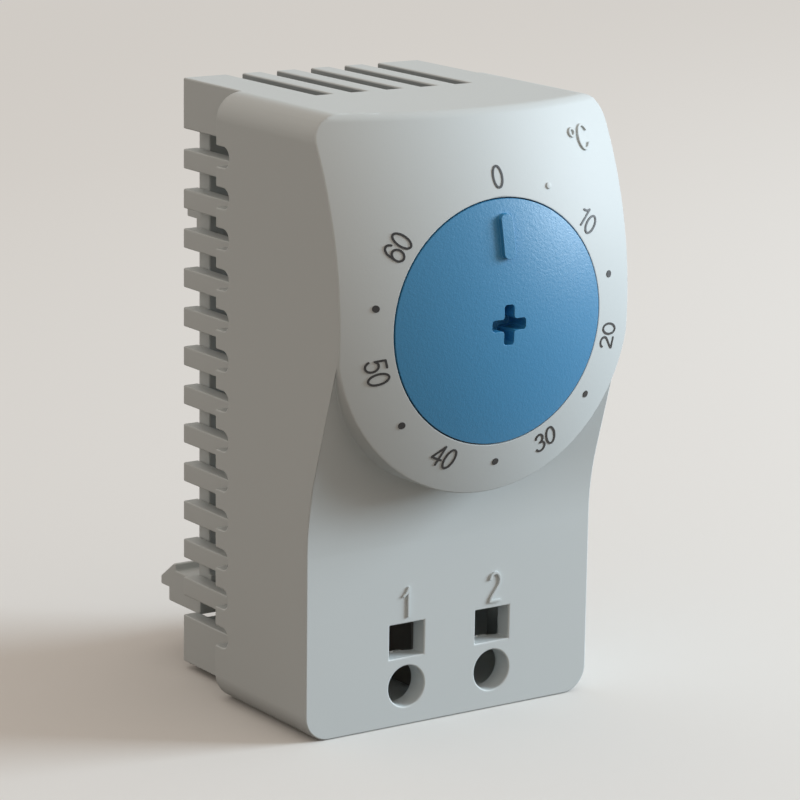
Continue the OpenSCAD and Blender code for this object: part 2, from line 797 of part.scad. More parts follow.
module dial_clip() color([0.6, 0.61, 0.63]) in_case() difference() {
  rod_y(0, dial_z, clip_r, clip_back, clip_back + clip_t);
  rod_y(0, dial_z, hub_r - groove_depth + tight_fit, -dome_depth, over);
  translate([0, 0, dial_z]) block(-clip_mouth / 2, clip_mouth / 2, -dome_depth, over, -clip_r - over, 0);
}

module friction_washer() color([0.8, 0.78, 0.7]) in_case() difference() {
  rod_y(0, dial_z, washer_out, -well_floor - washer_t - run_fit, -well_floor - run_fit);
  rod_y(0, dial_z, washer_in, -dome_depth, over);
}

module setting_spindle() color([0.8, 0.68, 0.38]) in_case() {
  translate([0, 0, dial_z])
    block(-drive_w / 2, drive_w / 2, -drive_front, -drive_back, -drive_w / 2, drive_w / 2);
  rod_y(0, dial_z, waist_r, -drive_back - over, -thread_front + over);
  rod_y(0, dial_z, thread_r, -thread_front, -thread_back);
  rod_y(0, dial_z, nose_r, -thread_back - over, -lever_front - nose_gap - nose_r);
  translate([0, -lever_front - nose_gap - nose_r, dial_z]) rotate([90, 0, 0]) sphere(nose_r);
}

module setting_lever() color([0.76, 0.77, 0.79]) in_case() difference() {
  union() {
    block(-lever_w / 2, lever_w / 2, -lever_front, -lever_front + sheet_t, lever_foot, lever_top);
    for (side = poles) {
      x0 = side > 0 ? lever_w / 2 - sheet_t : -lever_w / 2;
      rod_x(-pivot_y, pivot_z, eye_r, x0, x0 + sheet_t);
      block(x0, x0 + sheet_t, -lever_front, -pivot_y, pivot_z - eye_r, pivot_z + eye_r);
    }
  }
  rod_x(-pivot_y, pivot_z, pivot_r + run_fit, -lever_w, lever_w);
  rod_y(0, cal_z, cal_r + tight_fit, -lever_front - over, -lever_front + sheet_t + over);
}

module calibration_screw() color([0.8, 0.68, 0.38]) in_case() difference() {
  union() {
    rod_y(0, cal_z, cal_r, -cal_front, -strip_front - nose_gap);
    rod_y(0, cal_z, cal_head_r, -cal_front, -cal_front + cal_head_h);
  }
  translate([0, -cal_front, cal_z]) cube([2 * (cal_head_r + over), cal_head_h, screw_slot], center = true);
}

module pivot_pin() color([0.7, 0.71, 0.73]) in_case() {
  head = riser_x + sheet_t + run_fit;
  rod_x(-pivot_y, pivot_z, pivot_r, -ear_in - ear_t - pin_stub, head + pin_stub);
  rod_x(-pivot_y, pivot_z, pin_head_r, head, head + pin_stub);
}

module bimetal_foot() color([0.66, 0.67, 0.69]) in_case() difference() {
  union() {
    rod_x(-pivot_y, pivot_z, knuckle_r, -knuckle_w / 2, knuckle_w / 2);
    block(-strip_w / 2, strip_w / 2, -strip_back, -tang_back, tang_foot, pivot_z - pivot_r);
  }
  rod_x(-pivot_y, pivot_z, pivot_r + run_fit, -knuckle_w, knuckle_w);
  for (x = [-rivet_x, rivet_x]) rod_y(x, rivet_z, rivet_r + tight_fit, -strip_back - over, over);
}

module bimetal_strip() color([0.72, 0.62, 0.42]) in_case() difference() {
  block(-strip_w / 2, strip_w / 2, -strip_front, -strip_back, strip_end, strip_top);
  for (x = [-rivet_x, rivet_x]) rod_y(x, rivet_z, rivet_r + tight_fit, -strip_front - over, over);
  rod_y(0, contact_z, tail_r + tight_fit, -strip_front - over, over);
}

module foot_rivets() color([0.8, 0.7, 0.45]) in_case() for (x = [-rivet_x, rivet_x]) {
  rod_y(x, rivet_z, rivet_r, -strip_front - rivet_head_h, -tang_back + rivet_head_h);
  rod_y(x, rivet_z, rivet_head_r, -strip_front - rivet_head_h, -strip_front);
  rod_y(x, rivet_z, rivet_head_r, -tang_back, -tang_back + rivet_head_h);
}

module moving_contact() color([0.86, 0.86, 0.84]) in_case() {
  rod_y(0, contact_z, moving_r, -strip_front - moving_t, -strip_front);
  rod_y(0, contact_z, tail_r, -strip_front - moving_t, -strip_back + rivet_head_h);
  rod_y(0, contact_z, rivet_head_r, -strip_back, -strip_back + rivet_head_h);
}

module fixed_contact() color([0.86, 0.86, 0.84]) in_case() {
  rod_y(0, contact_z, fixed_r, -bar_back, -strip_front - moving_t - contact_gap);
  rod_y(0, contact_z, tail_r, -bar_front, -bar_back + tight_fit);
}

module armature() color([0.55, 0.56, 0.58]) in_case()
  block(-armature_w / 2, armature_w / 2, -strip_front - armature_t, -strip_front, armature_foot, armature_top);

module snap_magnet() color([0.3, 0.3, 0.32]) in_case() {
  face = strip_front + armature_t + magnet_gap;
  block(-armature_w / 2, armature_w / 2, -bar_back - magnet_t + magnet_seat + tight_fit, -face, magnet_foot,
    magnet_top);
}

// Tongue under a wire entry, with the upright plate behind it
module bar_foot_form(side, upright) {
  x = side * pole_pitch / 2;
  block(x - bar_w / 2, x + bar_w / 2, -bar_mouth, -bar_back, bar_foot, bar_foot + sheet_t);
  block(x - bar_w / 2, x + bar_w / 2, -bar_front, -bar_back, bar_foot, upright);
}

module terminal_bar_1() color([0.82, 0.68, 0.36]) in_case() difference() {
  union() {
    bar_foot_form(-1, bar_foot + bar_w);
    block(-pole_pitch / 2 - bar_w / 2, -bar_riser_in, -bar_front, -bar_back, bar_foot, bar_head);
    block(-pole_pitch / 2 - bar_w / 2, rest_w / 2, -bar_front, -bar_back, bar_step, bar_head);
  }
  rod_y(0, contact_z, tail_r + tight_fit, -bar_front - over, -bar_back + over);
}

module terminal_bar_2() color([0.82, 0.68, 0.36]) in_case() difference() {
  union() {
    bar_foot_form(1, riser_foot + sheet_t);
    block(pole_pitch / 2, riser_x + sheet_t, -bar_front, -bar_back, bar_foot, riser_foot + sheet_t);
    block(riser_x, riser_x + sheet_t, -bar_front, -riser_back, riser_foot, riser_top);
  }
  rod_x(-pivot_y, pivot_z, pivot_r + tight_fit, riser_x - over, riser_x + sheet_t + over);
}

// Loop round the frame's peg and a leg that leans back across the wire's path
module clamp_spring(side) color([0.7, 0.72, 0.75]) in_case() {
  x0 = side * pole_pitch / 2 - clamp_w / 2;
  loop_in = peg_r + run_fit;
  leg = (peg_z - bar_foot - sheet_t - clamp_tip_gap) / cos(clamp_lean) + loop_in * tan(clamp_lean);
  difference() {
    union() {
      rod_x(-peg_y, peg_z, loop_in + clamp_t, x0, x0 + clamp_w);
      translate([x0, -peg_y, peg_z]) rotate([clamp_lean, 0, 0])
        block(0, clamp_w, loop_in, loop_in + clamp_t - tight_fit, -leg, 0);
    }
    rod_x(-peg_y, peg_z, loop_in, x0 - over, x0 + clamp_w + over);
  }
}

module clamp_spring_1() clamp_spring(-1);
module clamp_spring_2() clamp_spring(1);

housing();
back_plate();
mechanism_frame();
frame_screws();
rail_latch();
latch_spring();
dial();
dial_clip();
friction_washer();
setting_spindle();
setting_lever();
calibration_screw();
pivot_pin();
return_spring();
bimetal_foot();
bimetal_strip();
foot_rivets();
moving_contact();
armature();
snap_magnet();
fixed_contact();
terminal_bar_1();
terminal_bar_2();
clamp_spring_1();
clamp_spring_2();
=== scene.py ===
"""Looks of a rail mounted cabinet thermostat: its mouldings, scale, springs, metal works and studio."""

import logging
import math
from dataclasses import dataclass, field, replace
from enum import Enum
from typing import Any, Sequence

import bmesh
import bpy
from mathutils import Matrix, Vector
from mathutils.geometry import delaunay_2d_cdt


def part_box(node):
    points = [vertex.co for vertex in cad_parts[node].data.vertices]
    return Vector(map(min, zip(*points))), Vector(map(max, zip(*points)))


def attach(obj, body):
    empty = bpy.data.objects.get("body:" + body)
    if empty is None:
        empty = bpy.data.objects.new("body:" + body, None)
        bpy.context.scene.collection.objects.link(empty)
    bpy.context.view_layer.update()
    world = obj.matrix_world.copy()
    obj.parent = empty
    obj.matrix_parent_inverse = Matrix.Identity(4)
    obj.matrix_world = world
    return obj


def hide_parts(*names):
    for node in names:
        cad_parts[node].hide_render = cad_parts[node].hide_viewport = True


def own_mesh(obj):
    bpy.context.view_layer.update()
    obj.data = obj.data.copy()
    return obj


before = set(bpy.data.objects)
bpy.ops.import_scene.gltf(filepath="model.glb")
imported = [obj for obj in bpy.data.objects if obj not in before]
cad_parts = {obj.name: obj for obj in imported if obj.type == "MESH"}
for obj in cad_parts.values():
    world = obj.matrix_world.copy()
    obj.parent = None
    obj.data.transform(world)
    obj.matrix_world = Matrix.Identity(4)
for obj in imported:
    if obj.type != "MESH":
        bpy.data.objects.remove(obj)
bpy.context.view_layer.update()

LOG = logging.getLogger("thermostat")
MM = 0.001
Colour = tuple[float, float, float]
Point = tuple[float, float]
BLACK: Colour = (0.0, 0.0, 0.0)
WHITE: Colour = (1.0, 1.0, 1.0)

# The front's dome is part of a ball, and the dial's pointer stands this high on it
DOME_CENTRE = Vector((0.0, 0.5 * MM, 14.0 * MM))
DOME_R = 40.0 * MM
POINTER_H = 0.5 * MM

# Room that the bimetal's foot needs to bend, and how far the lever pushes the return spring
BEND_ROOM = 0.33 * MM
LEVER_PUSH = 0.56 * MM

# Stands for the angle to a direction that has no length: more than any other
NO_ANGLE = 9.0


def srgb(red: int, green: int, blue: int) -> Colour:
    """Turns a colour as it looks on screen into a linear one.

    Args:
        red: Red, 0 to 255.
        green: Green, 0 to 255.
        blue: Blue, 0 to 255.

    Returns:
        The same colour in linear light.
    """
    shares = (channel / 255 for channel in (red, green, blue))
    return tuple(s / 12.92 if s <= 0.04045 else ((s + 0.055) / 1.055) ** 2.4 for s in shares)


class Body(Enum):
    """The bodies that new pieces ride on."""

    CASE = "case"
    DIAL = "dial"
    LATCH = "latch"


class Ground(Enum):
    """The faces that marks stand on."""

    DOME = "dome"
    LOWER_FACE = "lower face"


class Reading(Enum):
    """Which way the tops of a mark's characters point."""

    OUTWARD = 0.0
    INWARD = 180.0


# Shader nodes


class Socket:
    """A shader value that Python's arithmetic works on."""

    def __init__(self, net: "Net", source: Any) -> None:
        """Wraps a socket.

        Args:
            net: The node tree that it belongs to.
            source: The output socket, or a plain number.
        """
        self.net = net
        self.source = source

    def _math(self, operation: str, first: Any, second: Any) -> "Socket":
        """Adds one Math node.

        Args:
            operation: The node's operation.
            first: Its first value.
            second: Its second value.

        Returns:
            The node's result.
        """
        return self.net.node("ShaderNodeMath", {"operation": operation}, {0: first, 1: second})

    def __add__(self, other: Any) -> "Socket":
        """Adds."""
        return self._math("ADD", self, other)

    def __sub__(self, other: Any) -> "Socket":
        """Subtracts."""
        return self._math("SUBTRACT", self, other)

    def __rsub__(self, other: Any) -> "Socket":
        """Subtracts, reflected."""
        return self._math("SUBTRACT", other, self)

    def __mul__(self, other: Any) -> "Socket":
        """Multiplies."""
        return self._math("MULTIPLY", self, other)

    def __truediv__(self, other: Any) -> "Socket":
        """Divides."""
        return self._math("DIVIDE", self, other)

    def __pow__(self, other: Any) -> "Socket":
        """Raises to a power."""
        return self._math("POWER", self, other)

    def clamp(self) -> "Socket":
        """Holds the value between 0 and 1."""
        return self.net.node("ShaderNodeClamp", {}, {0: self})


class Net:
    """The node tree of one material or of the world."""

    def __init__(self, holder: Any) -> None:
        """Starts a node tree.

        Args:
            holder: The material or world.
        """
        holder.use_nodes = True
        self.holder = holder
        self.tree = holder.node_tree
        self.shader = self.tree.nodes.get("Principled BSDF") or self.tree.nodes["Background"]

    @classmethod
    def paint(cls, name: str) -> "Net":
        """Starts a material with a bare Principled shader."""
        return cls(bpy.data.materials.new(name))

    def node(self, kind: str, settings: dict[str, Any], values: dict[Any, Any],
             output: Any = 0) -> Socket:
        """Adds a node: its settings first, then its sockets.

        Args:
            kind: The node's type.
            settings: Properties by name; "stops" fills a colour ramp.
            values: Numbers, colours or links by socket name or index.
            output: The output socket to hand back.

        Returns:
            The chosen output.
        """
        made = self.tree.nodes.new(kind)
        for key, value in settings.items():
            if key == "stops":
                ramp = made.color_ramp.elements
                for spare, (place, colour) in enumerate(value):
                    stop = ramp[spare] if spare < len(ramp) else ramp.new(place)
                    stop.position = place
                    stop.color = (*colour, 1)
            else:
                setattr(made, key, value)
        for key, value in values.items():
            self.feed(made.inputs[key], value)
        return Socket(self, made.outputs[output])

    def feed(self, socket: Any, value: Any) -> None:
        """Gives an input socket a link or a value.

        Args:
            socket: The input socket.
            value: A Socket, a number, or a colour of three numbers.
        """
        if isinstance(value, Socket):
            self.tree.links.new(value.source, socket)
        elif isinstance(value, tuple) and socket.type == "RGBA":
            socket.default_value = (*value, 1)
        else:
            socket.default_value = value

    def place(self, scale: tuple[float, float, float] = (1, 1, 1)) -> Socket:
        """Object coordinates, stretched by a scale for each axis."""
        here = self.node("ShaderNodeTexCoord", {}, {}, "Object")
        return self.node("ShaderNodeMapping", {}, {"Vector": here, "Scale": scale})

    def noise(self, vector: Socket, scale: float, detail: float = 2.0, rough: float = 0.5) -> Socket:
        """Noise about a middle of 0.5, at a scale in waves per metre."""
        values = {"Vector": vector, "Scale": scale, "Detail": detail, "Roughness": rough}
        return self.node("ShaderNodeTexNoise", {}, values, "Fac")

    def mix(self, factor: Any, first: Any, second: Any) -> Socket:
        """Mixes two colours."""
        return self.node("ShaderNodeMix", {"data_type": "RGBA"}, {0: factor, 6: first, 7: second}, 2)

    def bump(self, height: Socket, strength: float, distance: float) -> Socket:
        """A bumped normal, from a height pattern of 0 to 1 and its full step in metres."""
        values = {"Height": height, "Strength": strength, "Distance": distance}
        return self.node("ShaderNodeBump", {}, values)

    def seen(self) -> Socket:
        """Tells the rays that show a surface from those that only light the object.

        Returns:
            One for camera, glossy and transmission rays, and zero for the others.
        """
        kinds = ("Is Camera Ray", "Is Glossy Ray", "Is Transmission Ray")
        camera, glossy, clear = (self.node("ShaderNodeLightPath", {}, {}, kind) for kind in kinds)
        return (camera + glossy + clear).clamp()

    def dress(self, values: dict[str, Any]) -> Any:
        """Fills the shader's sockets.

        Args:
            values: Numbers, colours or links by socket name.

        Returns:
            The material or world.
        """
        for key, value in values.items():
            self.feed(self.shader.inputs[key], value)
        return self.holder


def shade(colour: Colour, share: float) -> Colour:
    """Scales a colour by a share."""
    return tuple(min(1.0, channel * share) for channel in colour)


@dataclass(frozen=True)
class MouldedPlastic:
    """Matt injection moulded plastic with a spark eroded grain.

    Scales are in waves per metre. Sheens are what a pattern does to the roughness. The painted shade on
    the vent walls is off unless vent_shade_top gives the height of the top's broken edge.
    """

    name: str
    colour: Colour
    roughness: float = 0.48
    spread: float = 0.1
    mottle: float = 0.08
    cloud: float = 90.0
    grain: float = 4200.0
    grain_depth: float = 0.006 * MM
    fleck: float = 0.0
    fine_ratio: float = 2.6
    fine_share: float = 0.3
    grain_sheen: float = 0.12
    cloud_sheen: float = 0.06
    gloss: float = 0.42
    # Painted shade on the walls of the top's vents: its top, tone, ramps and extent
    vent_shade_top: float = 0.0
    vent_shade_tone: float = 0.5
    vent_shade_start: float = 0.12 * MM
    vent_shade_depth: float = 3.0 * MM
    vent_shade_end: float = 1.0 * MM
    vent_shade_half: float = 13.0 * MM
    vent_shade_front: float = -27.0 * MM
    vent_shade_edge: float = 0.3 * MM

    def material(self) -> bpy.types.Material:
        """Makes the material.

        Returns:
            Colour with a faint cloud and flecks, and a grain in roughness and bump.
        """
        net = Net.paint(self.name)
        here = net.place()
        cloud = net.noise(here, self.cloud)
        grain = net.noise(here, self.grain, detail=3.0, rough=0.6)
        fine = net.noise(here, self.grain * self.fine_ratio, detail=1.0)
        tone = (cloud - 0.5) * self.mottle + (grain - 0.5) * self.fleck + 0.5
        low, high = shade(self.colour, 1 - self.spread), shade(self.colour, 1 + self.spread)
        colour = net.mix(tone.clamp(), low, high)
        # Painted shade darkens the walls of the top's vents below the top edge
        if self.vent_shade_top:
            colour = net.mix(self.vent_shade(net, here), colour, shade(self.colour, self.vent_shade_tone))
        height = grain * (1 - self.fine_share) + fine * self.fine_share
        rough = (grain - 0.5) * self.grain_sheen + self.roughness + (cloud - 0.5) * self.cloud_sheen
        return net.dress({
            "Base Color": colour,
            "Roughness": rough.clamp(),
            "Specular IOR Level": self.gloss,
            "Normal": net.bump(height, strength=1.0, distance=self.grain_depth),
        })

    def vent_shade(self, net: Net, here: Socket) -> Socket:
        """Painted shade on the walls of the top's vents, from a little below the top.

        Args:
            net: The material's nodes.
            here: Object coordinates.

        Returns:
            One where the painted shade is full, and zero where there is none.
        """
        across, along, up = (net.node("ShaderNodeSeparateXYZ", {}, {0: here}, k) for k in range(3))
        below = ((self.vent_shade_top - up) / self.vent_shade_start).clamp()
        above = ((up - self.vent_shade_top + self.vent_shade_depth) / self.vent_shade_end).clamp()
        middle = ((self.vent_shade_half - (across * across) ** 0.5) / self.vent_shade_edge).clamp()
        behind = ((along - self.vent_shade_front) / self.vent_shade_edge).clamp()
        return below * above * middle * behind


@dataclass(frozen=True)
class RolledMetal:
    """Sheet or turned metal with fine lines; along stretches them."""

    name: str
    colour: Colour
    roughness: float = 0.32
    along: tuple[float, float, float] = (1.0, 1.0, 0.06)
    lines: float = 9000.0
    line_depth: float = 0.004 * MM
    line_sheen: float = 0.2
    line_tones: tuple[float, float] = (0.88, 1.1)
    cloud: float = 350.0
    cloud_sheen: float = 0.16
    spot_from: float = 0.52
    spot_full: float = 0.75
    tarnish: float = 0.08
    stain: Colour = (0.35, 0.3, 0.22)

    def material(self) -> bpy.types.Material:
        """Makes the material.

        Returns:
            Metal with rolling lines, faint stains and their change in gloss.
        """
        net = Net.paint(self.name)
        here = net.place()
        lines = net.noise(net.place(self.along), self.lines, rough=0.6)
        cloud = net.noise(here, self.cloud, detail=3.0)
        stops = [(self.spot_from, BLACK), (self.spot_full, WHITE)]
        spots = net.node("ShaderNodeValToRGB", {"stops": stops}, {0: cloud})
        tone = net.mix(lines, *(shade(self.colour, share) for share in self.line_tones))
        rough = (lines - 0.5) * self.line_sheen + self.roughness + (cloud - 0.5) * self.cloud_sheen
        return net.dress({
            "Base Color": net.mix(spots * self.tarnish, tone, self.stain),
            "Metallic": 1.0,
            "Roughness": rough.clamp(),
            "Normal": net.bump(lines, strength=0.6, distance=self.line_depth),
        })


@dataclass(frozen=True)
class BimetalSheet:
    """Two metals rolled together: one colour on the front face and another behind."""

    name: str
    front: Colour
    back: Colour
    heat: Colour
    roughness: float = 0.34
    along: tuple[float, float, float] = (1.0, 1.0, 0.05)
    lines: float = 8000.0
    line_depth: float = 0.004 * MM
    line_sheen: float = 0.2
    cloud: float = 220.0
    heat_from: float = 0.45
    heat_share: float = 0.5
    turn_over: float = 3.0

    def material(self) -> bpy.types.Material:
        """Makes the material.

        Returns:
            Metal that changes colour with the side that a face looks to.
        """
        net = Net.paint(self.name)
        normal = net.node("ShaderNodeNewGeometry", {}, {}, "Normal")
        facing = net.node("ShaderNodeSeparateXYZ", {}, {0: normal}, 1)
        side = (facing * self.turn_over + 0.5).clamp()
        lines = net.noise(net.place(self.along), self.lines)
        cloud = net.noise(net.place(), self.cloud)
        tone = net.mix(side, self.front, self.back)
        return net.dress({
            "Base Color": net.mix((cloud - self.heat_from) * self.heat_share, tone, self.heat),
            "Metallic": 1.0,
            "Roughness": ((lines - 0.5) * self.line_sheen + self.roughness).clamp(),
            "Normal": net.bump(lines, strength=0.5, distance=self.line_depth),
        })


@dataclass(frozen=True)
class SinteredBlock:
    """Dark pressed and sintered material with pores, as in a small magnet."""

    name: str
    colour: Colour
    tones: tuple[float, float] = (0.7, 1.5)
    metal: float = 0.35
    roughness: float = 0.55
    grain: float = 3000.0
    grain_sheen: float = 0.25
    cells: float = 5200.0
    pore_size: float = 1.6
    pore_depth: float = 0.01 * MM

    def material(self) -> bpy.types.Material:
        """Makes the material.

        Returns:
            A dark half metallic finish with pores.
        """
        net = Net.paint(self.name)
        here = net.place()
        cells = net.node("ShaderNodeTexVoronoi", {}, {"Vector": here, "Scale": self.cells}, "Distance")
        pores = (1 - cells * self.pore_size).clamp()
        grain = net.noise(here, self.grain, detail=3.0)
        return net.dress({
            "Base Color": net.mix(grain, *(shade(self.colour, share) for share in self.tones)),
            "Metallic": self.metal,
            "Roughness": ((grain - 0.5) * self.grain_sheen + self.roughness).clamp(),
            "Normal": net.bump(1 - pores, strength=0.5, distance=self.pore_depth),
        })


@dataclass(frozen=True)
class ScaleInk:
    """Hot stamped ink on the raised marks of the scale."""

    name: str
    colour: Colour
    thin: float = 6000.0
    thin_from: float = 0.3
    thin_tone: float = 2.2
    roughness: float = 0.5
    grain: float = 9000.0
    grain_sheen: float = 0.2
    grain_depth: float = 0.004 * MM

    def material(self) -> bpy.types.Material:
        """Makes the material.

        Returns:
            Dark satin ink, a little thin in places.
        """
        net = Net.paint(self.name)
        here = net.place()
        thin = (net.noise(here, self.thin, detail=3.0) - self.thin_from).clamp()
        grain = net.noise(here, self.grain, detail=1.0)
        return net.dress({
            "Base Color": net.mix(thin, self.colour, shade(self.colour, self.thin_tone)),
            "Roughness": ((grain - 0.5) * self.grain_sheen + self.roughness).clamp(),
            "Normal": net.bump(grain, strength=0.4, distance=self.grain_depth),
        })


class Palette:
    """Every finish of the object, each made once."""

    def __init__(self) -> None:
        """Makes the materials."""
        even = (1.0, 1.0, 1.0)
        # The shell's vent walls get painted shade below the top edge at this height
        self.shell = MouldedPlastic("shell plastic", srgb(204, 210, 210), 0.52, gloss=0.3,
                                    vent_shade_top=33.56 * MM).material()
        self.plate = MouldedPlastic("back plate plastic", srgb(198, 204, 204), grain=3600.0).material()
        self.latch = MouldedPlastic("latch plastic", srgb(200, 206, 206), 0.44, grain=5200.0).material()
        self.dial = MouldedPlastic("dial plastic", srgb(51, 132, 178), 0.4, grain=3400.0,
                                   grain_depth=0.034 * MM, fleck=0.36, gloss=0.66).material()
        self.frame = MouldedPlastic("frame plastic", srgb(124, 121, 117), 0.5, mottle=0.2,
                                    grain=3000.0).material()
        self.washer = MouldedPlastic("washer plastic", srgb(222, 218, 204), 0.35, mottle=0.12,
                                     grain=3000.0).material()
        self.ink = ScaleInk("scale ink", srgb(36, 34, 34)).material()
        self.steel = RolledMetal("plated steel", srgb(196, 198, 202), 0.3).material()
        self.wire = RolledMetal("spring wire", srgb(182, 184, 190), 0.26, along=even, lines=5000.0,
                                tarnish=0.04).material()
        self.stainless = RolledMetal("spring strip", srgb(188, 190, 194), 0.24).material()
        self.brass = RolledMetal("brass", srgb(214, 178, 98), 0.28, tarnish=0.25,
                                 stain=srgb(140, 96, 50)).material()
        self.silver = RolledMetal("contact silver", srgb(232, 230, 224), 0.2, along=even, lines=4000.0,
                                  tarnish=0.12).material()
        self.bimetal = BimetalSheet("bimetal", srgb(186, 184, 178), srgb(188, 168, 132),
                                    heat=srgb(150, 120, 90)).material()
        self.magnet = SinteredBlock("magnet", srgb(62, 62, 66)).material()


# Mesh work


@dataclass
class Assembly:
    """A group of pieces that are built and placed together."""

    palette: Palette

    def add(self, mesh: bpy.types.Mesh, name: str, body: Body, finish: bpy.types.Material,
            slot: str | None = None) -> bpy.types.Object:
        """Puts a finished mesh into the scene.

        Args:
            mesh: The mesh, in its place in the row frame.
            name: The piece's name.
            body: The body that it rides on.
            finish: Its material.
            slot: The record's material slot that it stands for; not used.

        Returns:
            The new object.
        """
        piece = bpy.data.objects.new(name, mesh)
        bpy.context.scene.collection.objects.link(piece)
        mesh.materials.clear()
        mesh.materials.append(finish)
        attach(piece, body.value)
        LOG.info("%s: %d faces on %s", name, len(mesh.polygons), body.value)
        return piece

    def seal(self, shape: bmesh.types.BMesh, name: str, crease: float = 38.0) -> bpy.types.Mesh:
        """Turns a bmesh into a smooth shaded mesh with its sharp edges marked.

        Args:
            shape: The shape, which is freed.
            name: The mesh's name.
            crease: Angle past which an edge stays sharp, in degrees.

        Returns:
            The mesh.
        """
        mesh = bpy.data.meshes.new(name)
        shape.to_mesh(mesh)
        shape.free()
        mesh.shade_smooth()
        mesh.set_sharp_from_angle(angle=math.radians(crease))
        return mesh


@dataclass
class Moulding(Assembly):
    """A moulded part: the CAD solid's own form with its edges broken.

    Angles are in degrees: faces that meet by less than flat are one face, and edges past corner are
    broken. The band along a flat face's rim is as wide as a multiple of the edge, and narrower bands are
    tried where that one doesn't fit. An edge shorter than the share sliver of the weld is closed up.
    """

    node: str = "housing"
    body: Body = Body.CASE
    slot: str = "housing_grey"
    edge: float = 0.15 * MM
    weld: float = 0.016 * MM
    sliver: float = 0.75
    flat: float = 0.4
    corner: float = 52.0
    band: float = 1.1
    band_shares: tuple[float, ...] = (1.0, 0.35, 0.1)
    many_corners: int = 16
    level: float = 0.9999
    slack: float = 1e-7
    flat_weight: int = 80
    dome_slack: float = 0.012 * MM
    dome_lean: float = 40.0

    def build(self, finish: bpy.types.Material) -> bpy.types.Object:
        """Builds the part from a merged copy of its solid.

        Args:
            finish: The part's material.

        Returns:
            The new piece.
        """
        shape = bmesh.new()
        shape.from_mesh(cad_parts[self.node].data)
        bmesh.ops.remove_doubles(shape, verts=shape.verts, dist=self.weld)
        bmesh.ops.dissolve_degenerate(shape, dist=self.sliver * self.weld, edges=shape.edges)
        bmesh.ops.dissolve_limit(shape, angle_limit=math.radians(self.flat), verts=shape.verts,
                                 edges=shape.edges, use_dissolve_boundaries=False)
        tight = self.rim_flats(shape)
        sharp = [e for e in shape.edges
                 if len(e.link_faces) == 2 and e.calc_face_angle() > math.radians(self.corner)
                 and not any(self.lies_on(e, spot, out) for spot, out in tight)]
        bmesh.ops.bevel(shape, geom=sharp, offset=self.edge, offset_type="OFFSET", affect="EDGES",
                        segments=2, profile=0.5, material=-1, clamp_overlap=False)
        name = self.node + "_moulding"
        piece = self.add(self.seal(shape, name), name, self.body, finish, self.slot)
        self.even_out(piece)
        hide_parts(self.node)
        return piece

    def lies_on(self, edge: bmesh.types.BMEdge, spot: Vector, out: Vector) -> bool:
        """Whether an edge lies on the plane through a point with a normal."""
        return all(abs((v.co - spot).dot(out)) < self.slack for v in edge.verts)

    def flat_parts(self, seed: bmesh.types.BMFace) -> list[bmesh.types.BMFace]:
        """Finds the parts of one flat face.

        Args:
            seed: One of its parts.

        Returns:
            All of its parts.
        """
        parts = [seed]
        most = math.radians(self.flat)
        for part in parts:
            for edge in part.edges:
                parts += [other for other in edge.link_faces
                          if other not in parts and other.normal.angle(seed.normal, NO_ANGLE) < most]
        return parts

    def fill(self, shape: bmesh.types.BMesh, rim: list[bmesh.types.BMEdge],
             out: Vector) -> list[bmesh.types.BMFace]:
        """Fills a flat outline with triangles and leaves its holes open.

        Args:
            shape: The part.
            rim: The outline's edges, its holes' too.
            out: The way that the face looks.

        Returns:
            The triangles, or none where the outline crosses itself.
        """
        verts = list(dict.fromkeys(v for e in rim for v in e.verts))
        order = {vert: k for k, vert in enumerate(verts)}
        lie = out.rotation_difference(Vector((0, 0, 1))).to_matrix()
        flat = [(lie @ v.co / MM).to_2d() for v in verts]
        ends = [(order[e.verts[0]], order[e.verts[1]]) for e in rim]
        spots, _, triangles, origins = delaunay_2d_cdt(flat, ends, [], 1, self.slack)[:4]
        if len(spots) != len(flat):
            return []
        fresh = []
        for corners in triangles:
            spot = sum((spots[k] for k in corners), Vector((0, 0))) / 3
            sides = ((flat[i], flat[j]) for i, j in ends)
            passed = sum((p.y > spot.y) != (q.y > spot.y)
                         and spot.x < p.x + (spot.y - p.y) * (q.x - p.x) / (q.y - p.y) for p, q in sides)
            if passed % 2:
                face = shape.faces.new([verts[origins[k][0]] for k in corners])
                face.normal_update()
                if face.normal.dot(out) < 0:
                    face.normal_flip()
                fresh.append(face)
        return fresh

    def rim_flats(self, shape: bmesh.types.BMesh) -> list[tuple[Vector, Vector]]:
        """Gives each flat face that is in parts one band of quads along its rim and a fresh middle.

        A bevel would otherwise slide along the seams between the parts.

        Args:
            shape: The part.

        Returns:
            A point and the normal of each flat face that is too narrow somewhere for broken edges.
        """
        tight: list[tuple[Vector, Vector]] = []
        done: set[bmesh.types.BMFace] = set()
        for seed in list(shape.faces):
            if not seed.is_valid or seed in done:
                continue
            parts = self.flat_parts(seed)
            plain = len(seed.verts) < self.many_corners or abs(seed.normal.z) < self.level
            if len(parts) == 1 and plain:
                continue
            spot, out = seed.verts[0].co.copy(), seed.normal.copy()
            made = bmesh.ops.inset_region(shape, faces=parts, thickness=self.band * self.edge,
                                          use_even_offset=True, use_boundary=True)["faces"]
            rim = [e for f in parts for e in f.edges if sum(g in parts for g in e.link_faces) == 1]
            bmesh.ops.delete(shape, geom=parts, context="FACES")
            inner = {v: v.co.copy() for e in rim for v in e.verts}
            outer = {v: next(e.other_vert(v).co.copy() for e in v.link_edges if e not in rim)
                     for v in inner}
            fresh: list[bmesh.types.BMFace] = []
            for share in self.band_shares:
                if not fresh:
                    for vert in inner:
                        vert.co = outer[vert].lerp(inner[vert], share)
                    fresh = self.fill(shape, rim, out)
                    if not fresh:
                        tight.append((spot, out))
            done |= set(made) | set(fresh)
            LOG.debug("%s: flat face of %d parts filled by %d", self.node, len(parts), len(fresh))
        shape.normal_update()
        return tight

